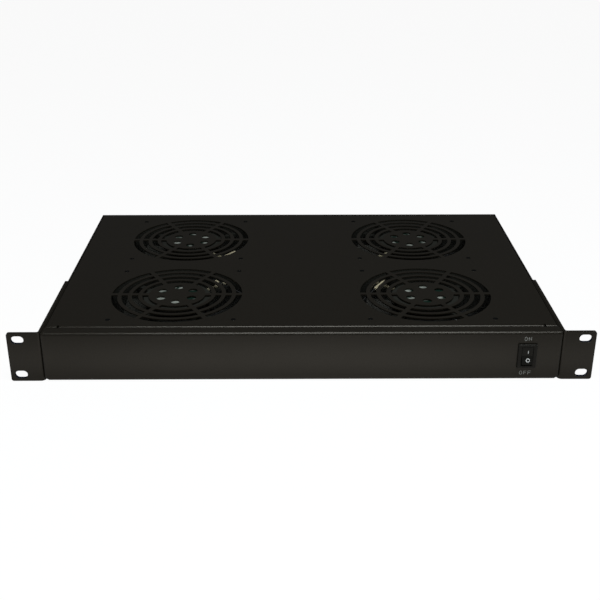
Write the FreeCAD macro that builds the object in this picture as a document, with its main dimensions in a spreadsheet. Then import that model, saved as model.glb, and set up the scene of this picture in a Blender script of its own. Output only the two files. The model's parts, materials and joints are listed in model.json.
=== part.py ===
import FreeCAD, Part
import math
import os
import Sketcher
from FreeCAD import Vector

# Rack fan tray, 1U high, in millimetres: a folded steel tray with two rack ears, closed by a cover
# whose four punched grilles stand over four axial mains fans. A rocker switch sits in the front
# panel and a mains inlet in the rear wall.
# Frame: X to the right, Y to the rear, Z up. The origin is the centre of the rack slots, on the
# ears' front face.

DIMENSIONS = {
    # 19 inch rack standard
    "rack_width": 482.6,
    "ear_height": 44.0,
    "slot_pitch_wide": 465.1,
    "slot_pitch_high": 31.75,
    "slot_length": 10.5,
    "slot_width": 7.0,
    # ears
    "ear_sheet": 2.5,
    "ear_bend": 4.0,
    "ear_corner": 2.0,
    "ear_reach": 109.5,
    # folded tray
    "body_width": 426.4,
    "body_depth": 290.0,
    "body_bottom": -21.9,
    "tray_top": 21.8,
    "tray_sheet": 1.2,
    "tray_bend": 1.8,
    "front_lip": 10.6,
    "corner_relief": 2.4,
    "intake_inset": 0.3,
    # cover
    "cover_top": 22.4,
    "cover_sheet": 1.0,
    "cover_bend": 1.5,
    "cover_drop": 9.0,
    "cover_gap": 0.3,
    "cover_corner_wide": 11.4,
    "cover_corner_deep": 3.0,
    "relief_width": 1.8,
    # grilles
    "ring_inset": 0.1,
    "ring_pitch": 9.05,
    "ring_slot": 5.4,
    "hub_disc_radius": 25.0,
    "spoke_width": 4.2,
    "hub_hole_radius": 4.1,
    "hub_hole_reach": 15.5,
    # fans
    "fan_size": 119.6,
    "fan_depth": 38.0,
    "fan_row_gap": 16.9,
    "fan_side_gap": 43.4,
    "fan_front_gap": 17.2,
    "bore_rim": 2.0,
    "ring_wall": 1.9,
    "fan_corner": 4.0,
    "flange_thickness": 4.0,
    "motor_plate_radius": 29.5,
    "motor_plate_thickness": 2.5,
    "motor_plate_inset": 1.0,
    "strut_width": 5.0,
    "strut_thickness": 4.0,
    "strut_inset": 7.5,
    "notch_gap": 0.3,
    "hub_radius": 28.5,
    "hub_wall": 1.6,
    "hub_height": 22.0,
    "hub_gap": 1.5,
    "blade_gap": 1.2,
    "blade_thickness": 1.6,
    "blade_rise": 17.0,
    "blade_run": 24.0,
    "blade_camber": 2.2,
    "blade_tip_cut": 1.8,
    "blade_root_depth": 6.0,
    "shaft_radius": 2.5,
    "shaft_clearance": 0.05,
    "shaft_end_gap": 0.5,
    "bearing_radius": 5.0,
    "stator_arm": 10.0,
    "stator_reach": 24.0,
    "stator_height": 14.0,
    "stator_drop": 10.0,
    # rocker switch
    "switch_side_gap": 27.6,
    "switch_z": 0.2,
    "bezel_lip": 1.3,
    "bezel_thickness": 2.0,
    "bezel_rim": 0.8,
    "switch_side_wall": 1.6,
    "switch_end_wall": 0.9,
    "switch_body_depth": 13.0,
    "switch_hole_gap": 0.2,
    "rocker_width": 9.0,
    "rocker_half": 7.6,
    "rocker_side_gap": 0.35,
    "rocker_end_gap": 1.0,
    "rocker_tilt": 9.0,
    "rocker_stand": 1.1,
    "rocker_dish": 1.2,
    "rocker_skirt": 0.5,
    "rocker_back": 3.5,
    "rocker_back_half": 3.0,
    "pivot_set_back": 2.6,
    "pivot_radius": 1.5,
    "pivot_clearance": 0.05,
    "pivot_cover": 0.3,
    "pivot_end_gap": 0.1,
    "switch_back_wall": 2.0,
    "terminal_width": 6.3,
    "terminal_thickness": 0.8,
    "terminal_length": 8.5,
    "terminal_pitch": 9.0,
    # mains inlet
    "inlet_x": 0.0,
    "inlet_z": 0.0,
    "inlet_lip": 2.3,
    "inlet_flange_thickness": 3.0,
    "inlet_rim": 1.0,
    "inlet_wall": 1.5,
    "inlet_hole_gap": 0.2,
    "inlet_body_depth": 17.0,
    "inlet_cavity_width": 24.0,
    "inlet_cavity_height": 16.4,
    "inlet_cavity_depth": 17.5,
    "inlet_chamfer": 5.0,
    "pin_width": 4.0,
    "pin_thickness": 2.0,
    "pin_pitch": 7.0,
    "pin_rise": 2.0,
    "pin_length": 12.5,
    # wiring
    "block_width": 34.0,
    "block_depth": 18.0,
    "block_height": 14.0,
    "block_step": 5.0,
    "lead_radius": 1.5,
    "lead_bend": 9.0,
    "lead_gap": 0.2,
    "lead_beyond": 4.2,
    "lead_entry": 6.0,
    "lead_end_gap": 1.3,
    "loom_radius": 2.2,
    "loom_bend": 20.0,
    "loom_lift": 3.0,
    "loom_set_back": 10.0,
    "loom_rise_start": 8.0,
    "loom_end_gap": 3.0,
    "loom_end_drop": 0.9,
    "mains_radius": 3.0,
    "mains_end_gap": 0.6,
}

doc = FreeCAD.newDocument("rack_fan_tray")


# Sizes -------------------------------------------------------------------------------------------


class Length:
    """A number and the spreadsheet expression that gives it, kept together through arithmetic."""

    def __init__(self, number, text):
        self.number = float(number)
        self.text = text

    def __float__(self):
        return self.number

    def __neg__(self):
        return Length(-self.number, f"(0 - {self.text})")

    def __add__(self, other):
        return Length(self.number + float(other), f"({self.text} + {text_of(other)})")

    def __sub__(self, other):
        return Length(self.number - float(other), f"({self.text} - {text_of(other)})")

    def __mul__(self, other):
        return Length(self.number * float(other), f"({self.text} * {text_of(other)})")

    def __truediv__(self, other):
        return Length(self.number / float(other), f"({self.text} / {text_of(other)})")

    def __radd__(self, other):
        return Length(float(other) + self.number, f"({text_of(other)} + {self.text})")

    def __rmul__(self, other):
        return Length(float(other) * self.number, f"({text_of(other)} * {self.text})")


def text_of(value):
    """The expression text of a Length, or of a plain number."""
    return value.text if isinstance(value, Length) else f"({value})"


class SizeTable:
    """The driving dimensions by name, each one a Length bound to its spreadsheet cell."""


def fill_sheet():
    """Writes the driving dimensions into the spreadsheet and returns them by name."""
    sheet = doc.addObject("Spreadsheet::Sheet", "Dimensions")
    for row, (name, number) in enumerate(DIMENSIONS.items(), start=1):
        sheet.set(f"A{row}", name)
        sheet.set(f"B{row}", str(number))
        sheet.setAlias(f"B{row}", name)
    doc.recompute()
    table = SizeTable()
    for name in DIMENSIONS:
        setattr(table, name, Length(sheet.get(name), f"Dimensions.{name}"))
    return table


size = fill_sheet()


# Sketches and features ---------------------------------------------------------------------------


def bind(thing, path, value):
    """Ties a property to the spreadsheet if its value is a Length."""
    if isinstance(value, Length):
        thing.setExpression(path, value.text)


def put(thing, path, shift, turn=None):
    """Sets a placement and binds it. The turn is an axis and an angle in degrees."""
    spin = FreeCAD.Rotation()
    if turn:
        spin = FreeCAD.Rotation(turn[0], float(turn[1]))
    setattr(thing, path, FreeCAD.Placement(Vector(*map(float, shift)), spin))
    for axis, value in zip("xyz", shift):
        bind(thing, f"{path}.Base.{axis}", value)
    if turn:
        bind(thing, f"{path}.Rotation.Angle", turn[1])


def new_body(name, shift=(0, 0, 0), turn=None):
    """A body whose label names its node."""
    body = doc.addObject("PartDesign::Body", name)
    body.Label = name
    put(body, "Placement", shift, turn)
    return body


def new_sketch(body, name, role, shift=(0, 0, 0), turn=None):
    """A sketch on one of the body's own origin planes, moved within that plane's frame."""
    plane = next(item for item in body.Origin.OriginFeatures if item.Role == role)
    sketch = body.newObject("Sketcher::SketchObject", name)
    sketch.AttachmentSupport = (plane, "")
    sketch.MapMode = "FlatFace"
    put(sketch, "AttachmentOffset", shift, turn)
    return sketch


def dimension(sketch, kind, *where):
    """Adds a dimensional constraint, bound to the sheet. Its last argument is its size."""
    *ends, value = where
    index = sketch.addConstraint(Sketcher.Constraint(kind, *ends, float(value)))
    if isinstance(value, Length):
        name = f"{kind}_{index}"
        sketch.renameConstraint(index, name)
        sketch.setExpression(f"Constraints.{name}", value.text)


def outline(sketch, points):
    """A closed outline of straight lines. Each corner is tied to the sketch's origin."""
    corners = [Vector(float(x), float(y), 0) for x, y in points]
    count = len(corners)
    lines = [
        sketch.addGeometry(Part.LineSegment(corners[i], corners[(i + 1) % count]), False)
        for i in range(count)
    ]
    for i, line in enumerate(lines):
        following = lines[(i + 1) % count]
        sketch.addConstraint(Sketcher.Constraint("Coincident", line, 2, following, 1))
        dimension(sketch, "DistanceX", -1, 1, line, 1, points[i][0])
        dimension(sketch, "DistanceY", -1, 1, line, 1, points[i][1])


def rectangle(sketch, left, bottom, width, height):
    """A rectangle by its lower left corner and its two sides."""
    right = left + width
    top = bottom + height
    outline(sketch, [(left, bottom), (right, bottom), (right, top), (left, top)])


def circle(sketch, x, y, radius):
    """A circle whose centre is tied to the sketch's origin."""
    centre = Vector(float(x), float(y), 0)
    ring = sketch.addGeometry(Part.Circle(centre, Vector(0, 0, 1), float(radius)), False)
    dimension(sketch, "DistanceX", -1, 1, ring, 3, x)
    dimension(sketch, "DistanceY", -1, 1, ring, 3, y)
    dimension(sketch, "Radius", ring, radius)


def pad(body, sketch, length, both_ways=False, downward=False):
    """Raises a sketch into solid material."""
    feature = body.newObject("PartDesign::Pad", f"{sketch.Name}_pad")
    feature.Profile = sketch
    feature.Length = float(length)
    bind(feature, "Length", length)
    feature.Midplane = both_ways
    feature.Reversed = downward
    doc.recompute()
    return feature


def pocket(body, sketch, length, both_ways=False, upward=False):
    """Cuts a sketch out of the body, and stops the build if nothing was cut."""
    before = body.Shape.Volume
    feature = body.newObject("PartDesign::Pocket", f"{sketch.Name}_cut")
    feature.Profile = sketch
    feature.Length = float(length)
    bind(feature, "Length", length)
    feature.Midplane = both_ways
    feature.Reversed = upward
    doc.recompute()
    if body.Shape.Volume > before - 0.01:
        raise RuntimeError(f"{feature.Name} cut nothing")
    return feature


def straight_edges(feature, along, **places):
    """Names of the straight edges that run along an axis and lie at the given coordinates."""
    direction = {"x": Vector(1, 0, 0), "y": Vector(0, 1, 0), "z": Vector(0, 0, 1)}[along]
    names = []
    for number, edge in enumerate(feature.Shape.Edges, start=1):
        if edge.Curve.TypeId != "Part::GeomLine":
            continue
        if abs(edge.tangentAt(edge.FirstParameter).dot(direction)) < 0.999:
            continue
        middle = edge.CenterOfMass
        if all(abs(getattr(middle, axis) - float(at)) < 0.01 for axis, at in places.items()):
            names.append(f"Edge{number}")
    return names


def fillet(body, edges, radius, name):
    """Rounds edges of the body's tip."""
    base = body.Tip
    feature = body.newObject("PartDesign::Fillet", name)
    feature.Base = (base, edges)
    feature.Radius = float(radius)
    bind(feature, "Radius", radius)
    doc.recompute()
    return feature


def around(body, original, sketch, count, name):
    """Repeats a feature round the sketch's normal."""
    feature = body.newObject("PartDesign::PolarPattern", name)
    feature.Originals = [original]
    feature.Axis = (sketch, ["N_Axis"])
    feature.Angle = 360
    feature.Occurrences = count
    body.Tip = feature
    doc.recompute()
    return feature


def steps_along(body, sketch, axis, pitch, name):
    """One step of a linear pattern along a sketch axis, for use inside a combined pattern."""
    feature = body.newObject("PartDesign::LinearPattern", name)
    feature.Direction = (sketch, [axis])
    feature.Length = float(pitch)
    bind(feature, "Length", pitch)
    feature.Occurrences = 2
    return feature


def combined(body, original, transformations, name):
    """Applies several patterns to one feature, each to the result of the one before."""
    feature = body.newObject("PartDesign::MultiTransform", name)
    feature.Originals = [original]
    feature.Transformations = transformations
    body.Tip = feature
    doc.recompute()
    return feature


# Shared places -----------------------------------------------------------------------------------

half_width = size.body_width / 2
tray_height = size.tray_top - size.body_bottom
tray_floor = size.body_bottom + size.tray_sheet
cover_front = size.front_lip + size.cover_gap
cover_underside = size.cover_top - size.cover_sheet
fan_bottom = cover_underside - size.fan_depth
fan_bore = size.fan_size / 2 - size.bore_rim
row_pitch = size.fan_size + size.fan_row_gap
column_x = half_width - size.fan_side_gap - size.fan_size / 2
front_row_y = size.fan_front_gap + size.fan_size / 2
rear_row_y = front_row_y + row_pitch
FAN_PLACES = {
    "front_left": (-column_x, front_row_y),
    "front_right": (column_x, front_row_y),
    "rear_left": (-column_x, rear_row_y),
    "rear_right": (column_x, rear_row_y),
}
block_y = front_row_y + row_pitch / 2
# Heights inside a fan, counted from its lower face.
plate_bottom = size.fan_depth - size.motor_plate_inset - size.motor_plate_thickness
strut_top = size.fan_depth - size.strut_inset
hub_top = strut_top - size.strut_thickness - size.hub_gap
hub_bottom = hub_top - size.hub_height
# As many rings of slots as fit between the rim of the fan's bore and the disc over its hub.
ring_radius = fan_bore - size.ring_inset
ring_room = ring_radius - size.hub_disc_radius - size.ring_slot
RINGS = 1 + int(float(ring_room) / float(size.ring_pitch))
# Switch and inlet, from the openings in them outward.
switch_x = half_width - size.switch_side_gap
opening_width = size.rocker_width + 2 * size.rocker_side_gap
opening_height = 2 * (size.rocker_half + size.rocker_end_gap)
switch_width = opening_width + 2 * size.switch_side_wall
switch_height = opening_height + 2 * size.switch_end_wall
bezel_width = switch_width + 2 * size.bezel_lip
bezel_height = switch_height + 2 * size.bezel_lip
pivot_length = switch_width - 2 * size.pivot_cover
inlet_width = size.inlet_cavity_width + 2 * size.inlet_wall
inlet_height = size.inlet_cavity_height + 2 * size.inlet_wall
SPOKES = 6
BLADES = 5
STRUTS = 4
DIAGONAL = 1 / math.sqrt(2)
BEND_SHARE = 0.45


# Sheet metal -------------------------------------------------------------------------------------


def make_tray():
    """Tray folded from one sheet: floor, four walls, and a lip turned back over the front panel."""
    body = new_body("chassis_tray")
    block = new_sketch(body, "tray_plan", "XY_Plane", (0, 0, size.body_bottom))
    rectangle(block, -half_width, 0, size.body_width, size.body_depth)
    solid = pad(body, block, tray_height)
    outer_bends = (
        straight_edges(solid, "x", y=0, z=size.body_bottom)
        + straight_edges(solid, "x", y=0, z=size.tray_top)
        + straight_edges(solid, "x", y=size.body_depth, z=size.body_bottom)
        + straight_edges(solid, "y", x=half_width, z=size.body_bottom)
        + straight_edges(solid, "y", x=-half_width, z=size.body_bottom)
    )
    fillet(body, outer_bends, size.tray_bend, "tray_outer_bends")

    inner_width = size.body_width - 2 * size.tray_sheet
    hollow = new_sketch(body, "tray_hollow", "XY_Plane", (0, 0, size.tray_top))
    inner_depth = size.body_depth - size.tray_sheet - size.front_lip
    rectangle(hollow, -inner_width / 2, size.front_lip, inner_width, inner_depth)
    pocket(body, hollow, tray_height - size.tray_sheet)

    under_lip = new_sketch(body, "tray_under_lip", "YZ_Plane")
    channel_height = tray_height - 2 * size.tray_sheet
    rectangle(under_lip, size.tray_sheet, tray_floor, size.front_lip, channel_height)
    channel = pocket(body, under_lip, inner_width, both_ways=True)

    inner_bends = (
        straight_edges(channel, "x", y=size.tray_sheet, z=tray_floor)
        + straight_edges(channel, "x", y=size.tray_sheet, z=size.tray_top - size.tray_sheet)
        + straight_edges(channel, "x", y=size.body_depth - size.tray_sheet, z=tray_floor)
        + straight_edges(channel, "y", x=inner_width / 2, z=tray_floor)
        + straight_edges(channel, "y", x=-inner_width / 2, z=tray_floor)
    )
    fillet(body, inner_bends, size.tray_bend - size.tray_sheet, "tray_inner_bends")

    relief = new_sketch(body, "tray_corner_relief", "XY_Plane", (0, 0, size.body_bottom))
    for x in (-half_width, half_width - size.corner_relief):
        for y in (0, size.body_depth - size.corner_relief):
            rectangle(relief, x, y, size.corner_relief, size.corner_relief)
    pocket(body, relief, size.corner_relief, upward=True)

    intake = new_sketch(body, "tray_intakes", "XY_Plane", (0, 0, size.body_bottom))
    for x, y in FAN_PLACES.values():
        circle(intake, x, y, fan_bore - size.intake_inset)
    pocket(body, intake, size.tray_sheet, upward=True)

    # On the XZ plane, local y is Z and the sketch's normal points to the front.
    switch_hole = new_sketch(body, "tray_switch_hole", "XZ_Plane")
    hole_width = switch_width + size.switch_hole_gap
    hole_height = switch_height + size.switch_hole_gap
    rectangle(switch_hole, switch_x - hole_width / 2, size.switch_z - hole_height / 2,
              hole_width, hole_height)
    pocket(body, switch_hole, size.tray_sheet)

    inlet_hole = new_sketch(body, "tray_inlet_hole", "XZ_Plane", (0, 0, -size.body_depth))
    inlet_outline(inlet_hole, inlet_width + size.inlet_hole_gap, inlet_height + size.inlet_hole_gap)
    pocket(body, inlet_hole, size.tray_sheet, upward=True)
    return body


def make_cover():
    """Cover folded as a shallow pan that drops between the tray's walls, with its grilles punched."""
    body = new_body("top_cover")
    width = size.body_width - 2 * size.tray_sheet - 2 * size.cover_gap
    depth = size.body_depth - size.tray_sheet - size.cover_gap - cover_front
    side = width / 2
    back = cover_front + depth
    plan = new_sketch(body, "cover_plan", "XY_Plane", (0, 0, size.cover_top - size.cover_drop))
    rectangle(plan, -side, cover_front, width, depth)
    solid = pad(body, plan, size.cover_drop)
    bends = (
        straight_edges(solid, "x", y=cover_front, z=size.cover_top)
        + straight_edges(solid, "x", y=back, z=size.cover_top)
        + straight_edges(solid, "y", x=side, z=size.cover_top)
        + straight_edges(solid, "y", x=-side, z=size.cover_top)
    )
    fillet(body, bends, size.cover_bend, "cover_outer_bends")

    drop_inside = size.cover_drop - size.cover_sheet
    hollow = new_sketch(body, "cover_hollow", "XY_Plane", (0, 0, cover_underside))
    rectangle(hollow, size.cover_sheet - side, cover_front + size.cover_sheet,
              width - 2 * size.cover_sheet, depth - 2 * size.cover_sheet)
    pocket(body, hollow, drop_inside)

    # The four flanges stop short of the corners, where the blank is notched so that it can fold.
    corners = new_sketch(body, "cover_corners", "XY_Plane", (0, 0, cover_underside))
    notches = new_sketch(body, "cover_notches", "XY_Plane", (0, 0, size.cover_top))
    for left in (True, False):
        corner_x = -side if left else side - size.cover_corner_wide
        notch_x = size.cover_corner_wide - side - size.relief_width
        if not left:
            notch_x = side - size.cover_corner_wide
        for y in (cover_front, back - size.cover_corner_deep):
            rectangle(corners, corner_x, y, size.cover_corner_wide, size.cover_corner_deep)
            rectangle(notches, notch_x, y, size.relief_width, size.cover_corner_deep)
    pocket(body, corners, drop_inside)
    pocket(body, notches, size.cover_drop)
    punch_grilles(body)
    return body


def punch_grilles(body):
    """Four rings of slots between six spokes over each fan, and a ring of hub holes."""
    first = (-column_x, front_row_y, size.cover_top)
    sector = new_sketch(body, "grille_sector", "XY_Plane", first)
    grille_sector(sector)
    punched = pocket(body, sector, size.cover_sheet)
    turned = body.newObject("PartDesign::PolarPattern", "grille_turns")
    turned.Axis = (sector, ["N_Axis"])
    turned.Angle = 360
    turned.Occurrences = SPOKES
    columns = steps_along(body, sector, "H_Axis", 2 * column_x, "grille_columns")
    rows = steps_along(body, sector, "V_Axis", row_pitch, "grille_rows")
    combined(body, punched, [turned, columns, rows], "grilles")


def grille_sector(sketch):
    """The slots between two neighbouring spokes, and the hub hole on the line midway."""
    turn = 2 * math.pi / SPOKES
    half_spoke = size.spoke_width / 2
    ends = []
    for ring in range(RINGS):
        outer = ring_radius - ring * size.ring_pitch
        ends.append(ring_slot(sketch, outer, outer - size.ring_slot, half_spoke, turn))
    # One construction line carries the slots' far ends, parallel to the next spoke.
    first_arc, last_arc = ends[0][0], ends[-1][1]
    start = sketch.getPoint(first_arc, 2)
    finish = sketch.getPoint(last_arc, 2)
    border = sketch.addGeometry(Part.LineSegment(finish, start), True)
    sketch.addConstraint(Sketcher.Constraint("Coincident", border, 1, last_arc, 2))
    sketch.addConstraint(Sketcher.Constraint("Coincident", border, 2, first_arc, 2))
    sketch.addConstraint(Sketcher.Constraint("Angle", -1, 1, border, 1, turn))
    dimension(sketch, "Distance", -1, 1, border, half_spoke)
    for outer_arc, inner_arc in ends:
        for arc in (outer_arc, inner_arc):
            if arc not in (first_arc, last_arc):
                sketch.addConstraint(Sketcher.Constraint("PointOnObject", arc, 2, border))
    middle = turn / 2
    reach = float(size.hub_hole_reach)
    centre = Vector(reach * math.cos(middle), reach * math.sin(middle), 0)
    ray = sketch.addGeometry(Part.LineSegment(Vector(0, 0, 0), centre), True)
    sketch.addConstraint(Sketcher.Constraint("Coincident", ray, 1, -1, 1))
    sketch.addConstraint(Sketcher.Constraint("Angle", -1, 1, ray, 1, middle))
    dimension(sketch, "Distance", ray, size.hub_hole_reach)
    hole = sketch.addGeometry(
        Part.Circle(centre, Vector(0, 0, 1), float(size.hub_hole_radius)), False)
    sketch.addConstraint(Sketcher.Constraint("Coincident", hole, 3, ray, 2))
    dimension(sketch, "Radius", hole, size.hub_hole_radius)


def ring_slot(sketch, outer, inner, half_spoke, turn):
    """One slot: two arcs about the hub, closed by lines parallel to the spokes beside it."""
    arcs = []
    for radius in (outer, inner):
        start = math.asin(float(half_spoke) / float(radius))
        ring = Part.Circle(Vector(0, 0, 0), Vector(0, 0, 1), float(radius))
        arc = sketch.addGeometry(Part.ArcOfCircle(ring, start, turn - start), False)
        sketch.addConstraint(Sketcher.Constraint("Coincident", arc, 3, -1, 1))
        dimension(sketch, "Radius", arc, radius)
        dimension(sketch, "DistanceY", -1, 1, arc, 1, half_spoke)
        arcs.append(arc)
    for end in (1, 2):
        points = [sketch.getPoint(arc, end) for arc in arcs]
        line = sketch.addGeometry(Part.LineSegment(*points), False)
        sketch.addConstraint(Sketcher.Constraint("Coincident", line, 1, arcs[0], end))
        sketch.addConstraint(Sketcher.Constraint("Coincident", line, 2, arcs[1], end))
    return arcs


def make_ear(name, hand):
    """Rack ear: an angle whose long flange lies along the tray's side wall. hand is -1 or 1."""
    body = new_body(name)
    plan = new_sketch(body, f"{name}_plan", "XY_Plane", (0, 0, -size.ear_height / 2))
    outside = half_width + size.ear_sheet
    points = [
        (half_width, 0),
        (size.rack_width / 2, 0),
        (size.rack_width / 2, size.ear_sheet),
        (outside, size.ear_sheet),
        (outside, size.ear_reach),
        (half_width, size.ear_reach),
    ]
    outline(plan, [(hand * x, y) for x, y in points])
    angle = pad(body, plan, size.ear_height)
    outer = straight_edges(angle, "z", x=hand * half_width, y=0)
    bent = fillet(body, outer, size.ear_bend, f"{name}_outer_bend")
    inner = straight_edges(bent, "z", x=hand * outside, y=size.ear_sheet)
    bent = fillet(body, inner, size.ear_bend - size.ear_sheet, f"{name}_inner_bend")
    rounded = []
    for z in (-size.ear_height / 2, size.ear_height / 2):
        rounded += straight_edges(bent, "y", x=hand * size.rack_width / 2, z=z)
        rounded += straight_edges(bent, "x", y=size.ear_reach, z=z)
    fillet(body, rounded, size.ear_corner, f"{name}_corners")

    slots = new_sketch(body, f"{name}_slots", "XZ_Plane")
    for z in (-size.slot_pitch_high / 2, size.slot_pitch_high / 2):
        rounded_slot(slots, hand * size.slot_pitch_wide / 2, z)
    pocket(body, slots, size.ear_sheet)
    return body


def rounded_slot(sketch, x, z):
    """A rack slot: two half circles joined by straight sides."""
    half_gap = (size.slot_length - size.slot_width) / 2
    radius = size.slot_width / 2
    arcs = []
    for sign, start in ((1, -math.pi / 2), (-1, math.pi / 2)):
        centre = Vector(float(x + sign * half_gap), float(z), 0)
        ring = Part.Circle(centre, Vector(0, 0, 1), float(radius))
        arc = sketch.addGeometry(Part.ArcOfCircle(ring, start, start + math.pi), False)
        dimension(sketch, "DistanceX", -1, 1, arc, 3, x + sign * half_gap)
        dimension(sketch, "DistanceY", -1, 1, arc, 3, z)
        arcs.append(arc)
    for first, second in (arcs, arcs[::-1]):
        side = Part.LineSegment(sketch.getPoint(first, 2), sketch.getPoint(second, 1))
        line = sketch.addGeometry(side, False)
        sketch.addConstraint(Sketcher.Constraint("Tangent", first, 2, line, 1))
        sketch.addConstraint(Sketcher.Constraint("Tangent", line, 2, second, 1))
    dimension(sketch, "Radius", arcs[0], radius)


# Fans --------------------------------------------------------------------------------------------


def make_fan_frame(name, x, y):
    """Die-cast fan frame: two square flanges, the ring between them, four struts, motor plate."""
    inward, toward = lead_sides(x, y)
    body = new_body(name, (x, y, fan_bottom))
    half = size.fan_size / 2
    inner = half - size.fan_corner
    square = new_sketch(body, f"{name}_square", "XY_Plane")
    outline(square, [
        (-inner, -half), (inner, -half), (half, -inner), (half, inner),
        (inner, half), (-inner, half), (-half, inner), (-half, -inner),
    ])
    pad(body, square, size.fan_depth)
    bore = new_sketch(body, f"{name}_bore", "XY_Plane", (0, 0, size.fan_depth))
    circle(bore, 0, 0, fan_bore)
    pocket(body, bore, size.fan_depth)

    # Between the flanges the corners are open, down to a flat that just misses the ring.
    open_corner = new_sketch(body, f"{name}_corner", "XY_Plane", (0, 0, size.flange_thickness))
    reach = (fan_bore + size.ring_wall) * math.sqrt(2) - half
    outline(open_corner, [(reach, half), (half, reach), (half, half)])
    corner = pocket(body, open_corner, size.fan_depth - 2 * size.flange_thickness, upward=True)
    around(body, corner, open_corner, 4, f"{name}_open_corners")

    plate = new_sketch(body, f"{name}_plate", "XY_Plane", (0, 0, plate_bottom))
    circle(plate, 0, 0, size.motor_plate_radius)
    pad(body, plate, size.motor_plate_thickness)
    strut = new_sketch(body, f"{name}_strut", "XY_Plane", (0, 0, strut_top))
    half_width = size.strut_width / 2 * DIAGONAL
    start = (size.motor_plate_radius - size.strut_width) * DIAGONAL
    end = (fan_bore + size.ring_wall / 2) * DIAGONAL
    outline(strut, [
        (start - half_width, start + half_width), (start + half_width, start - half_width),
        (end + half_width, end - half_width), (end - half_width, end + half_width),
    ])
    bar = pad(body, strut, size.strut_thickness, downward=True)
    around(body, bar, strut, STRUTS, f"{name}_struts")
    post = new_sketch(body, f"{name}_post", "XY_Plane", (0, 0, strut_top))
    finish = size.motor_plate_radius * DIAGONAL - half_width
    outline(post, [
        (start - half_width, start + half_width), (start + half_width, start - half_width),
        (finish + half_width, finish - half_width), (finish - half_width, finish + half_width),
    ])
    riser = pad(body, post, plate_bottom - strut_top)
    around(body, riser, post, STRUTS, f"{name}_posts")

    # The lead leaves through a notch in the ring, under the upper flange.
    notch = new_sketch(body, f"{name}_notch", "XY_Plane",
                       (0, 0, size.fan_depth - size.flange_thickness))
    wide = (size.lead_radius + size.notch_gap) * DIAGONAL
    near = (fan_bore - size.ring_wall) * DIAGONAL
    far = (fan_bore + size.ring_wall * 2) * DIAGONAL
    corners = [
        (near - wide, near + wide), (near + wide, near - wide),
        (far + wide, far - wide), (far - wide, far + wide),
    ]
    outline(notch, [(inward * px, toward * py) for px, py in corners])
    pocket(body, notch, size.strut_inset - size.flange_thickness)
    return body


def lead_sides(x, y):
    """The directions along X and Y in which a fan's lead heads for the terminal block."""
    return (-1 if float(x) > 0 else 1), (1 if float(y) < float(block_y) else -1)


def make_impeller(name, x, y):
    """Impeller: a hub cup that opens upward round the motor, with cambered blades."""
    body = new_body(name, (x, y, fan_bottom))
    hub = new_sketch(body, f"{name}_hub", "XY_Plane", (0, 0, hub_bottom))
    circle(hub, 0, 0, size.hub_radius)
    pad(body, hub, size.hub_height)

    # Each blade is a cambered section run straight out from inside the hub to a flat tip.
    tip = fan_bore - size.blade_gap - size.blade_tip_cut
    root = size.hub_radius - size.blade_root_depth
    section = new_sketch(body, f"{name}_section", "XZ_Plane",
                         (0, hub_bottom + size.hub_height / 2, -tip))
    run = size.blade_run / 2
    rise = size.blade_rise / 2
    camber = size.blade_camber
    thickness = size.blade_thickness
    outline(section, [
        (-run, -rise), (camber, -camber), (run, rise),
        (run - thickness, rise), (camber - thickness, thickness - camber),
        (-run - thickness, -rise),
    ])
    blade = pad(body, section, tip - root)
    around(body, blade, hub, BLADES, f"{name}_blades")

    cup = new_sketch(body, f"{name}_cup", "XY_Plane", (0, 0, hub_top))
    circle(cup, 0, 0, size.hub_radius - size.hub_wall)
    pocket(body, cup, size.hub_height - size.hub_wall)
    boss = new_sketch(body, f"{name}_boss", "XY_Plane", (0, 0, hub_bottom))
    circle(boss, 0, 0, size.shaft_radius)
    pocket(body, boss, size.hub_wall, upward=True)
    return body


def make_shaft(name, x, y):
    """Steel shaft, pressed into the hub's floor and running in the bearing."""
    body = new_body(name, (x, y, fan_bottom))
    top = plate_bottom - size.shaft_end_gap
    sketch = new_sketch(body, f"{name}_section", "XY_Plane", (0, 0, hub_bottom))
    circle(sketch, 0, 0, size.shaft_radius)
    pad(body, sketch, top - hub_bottom)
    return body


def make_motor(name, x, y):
    """Four-pole stator stack on its bronze bearing tube, which hangs from the motor plate."""
    body = new_body(name, (x, y, fan_bottom))
    tube_section = new_sketch(body, f"{name}_tube", "XY_Plane", (0, 0, plate_bottom))
    circle(tube_section, 0, 0, size.bearing_radius)
    bearing_length = size.stator_drop + size.stator_height
    pad(body, tube_section, bearing_length, downward=True)
    stack_top = plate_bottom - size.stator_drop
    stack = new_sketch(body, f"{name}_stack", "XY_Plane", (0, 0, stack_top))
    arm = size.stator_arm
    reach = size.stator_reach
    outline(stack, [
        (arm, arm), (arm, reach), (-arm, reach), (-arm, arm), (-reach, arm), (-reach, -arm),
        (-arm, -arm), (-arm, -reach), (arm, -reach), (arm, -arm), (reach, -arm), (reach, arm),
    ])
    pad(body, stack, size.stator_height, downward=True)
    bore = new_sketch(body, f"{name}_bore", "XY_Plane", (0, 0, plate_bottom))
    circle(bore, 0, 0, size.shaft_radius + size.shaft_clearance)
    pocket(body, bore, bearing_length)
    return body


# Switch ------------------------------------------------------------------------------------------


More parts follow.
